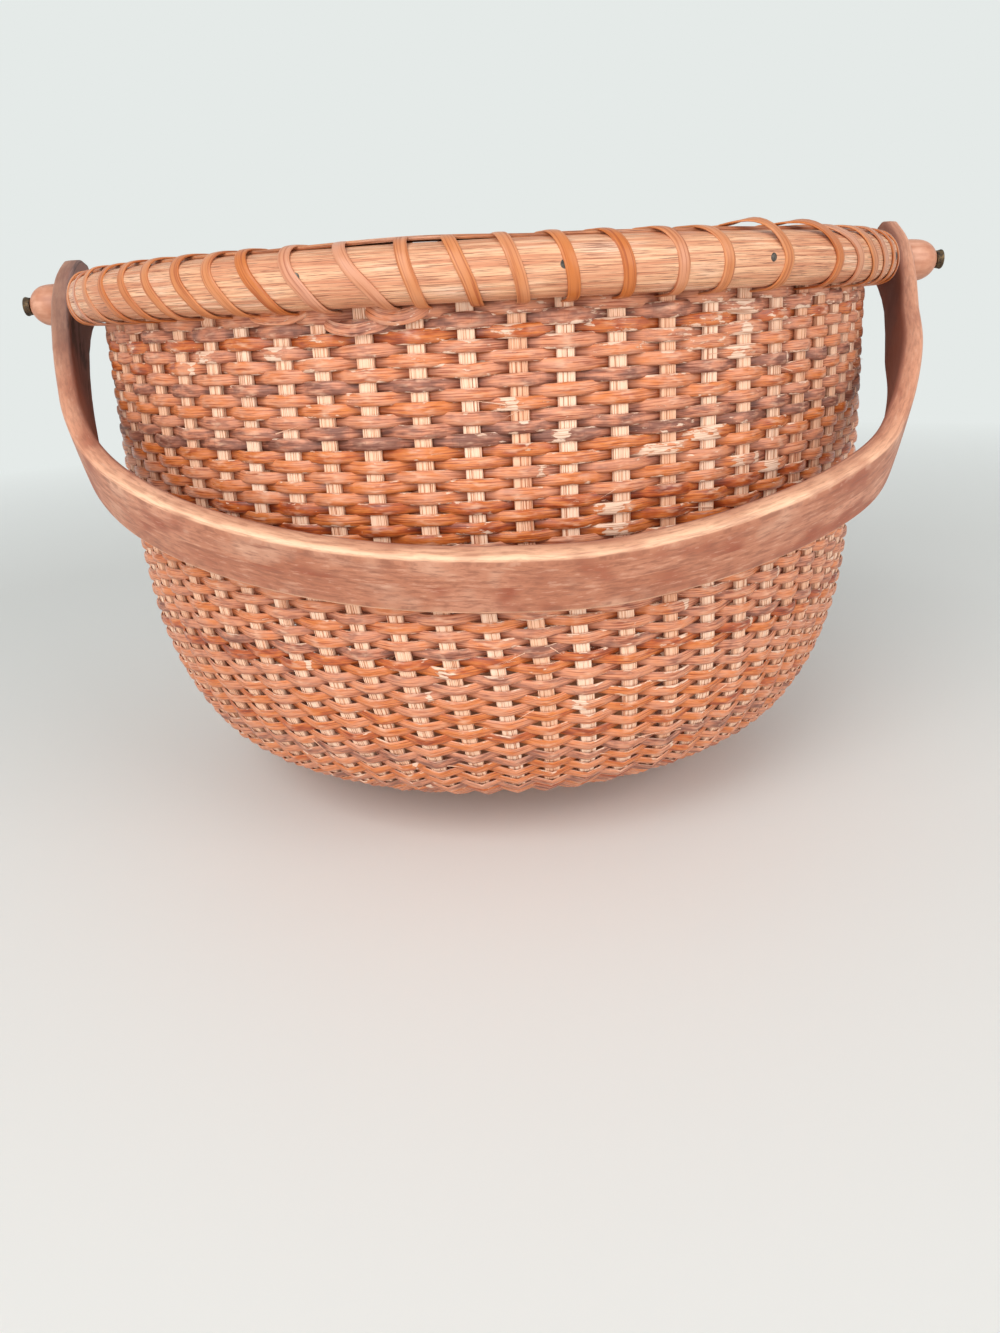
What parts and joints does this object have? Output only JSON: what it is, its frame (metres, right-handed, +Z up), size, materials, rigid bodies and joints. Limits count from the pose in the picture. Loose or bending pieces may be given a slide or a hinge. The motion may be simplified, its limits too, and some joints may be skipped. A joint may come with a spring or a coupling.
{
  "type": "woven basket",
  "caption": "Round woven cane basket with a turned wooden base, a lashed hooped rim and a swing handle on side pins.",
  "frame": {"origin": "centre of the base's flat resting face", "axes": "+Z up, +X along the handle's pivot axis towards the right-hand knob, -Y towards the side that the lowered handle rests on"},
  "size_m": [0.3052, 0.2632, 0.1755],
  "materials": {
    "base_wood": "satin",
    "weaver_cane": "semi-gloss",
    "stave_cane": "satin",
    "hoop_wood": "satin",
    "lashing_cane": "semi-gloss",
    "handle_wood": "satin",
    "knob_wood": "semi-gloss",
    "dark_brass": "aged"
  },
  "bodies": {
    "basket": {"base": "base_wood", "woven_wall": "weaver_cane", "stave_cage": "stave_cane", "rim_outer_hoop": "hoop_wood", "rim_inner_hoop": "hoop_wood", "rim_cap": "lashing_cane", "rim_lashing_1": "lashing_cane", "rim_lashing_2": "lashing_cane", "rim_lashing_3": "lashing_cane", "pivot_pin_right": "dark_brass", "pivot_pin_left": "dark_brass", "spacer_washer_right": "knob_wood", "spacer_washer_left": "knob_wood", "knob_right": "knob_wood", "knob_left": "knob_wood", "pin_burr_right": "dark_brass", "pin_burr_left": "dark_brass"},
    "handle": {"handle_bow": "handle_wood"}
  },
  "joints": [
    {"name": "handle_swing", "type": "hinge", "parent": "basket", "child": "handle", "pos_m": [0, 0, 0.16145], "axis": [-1, 0, 0], "range_deg": [0, 236.4]}
  ]
}
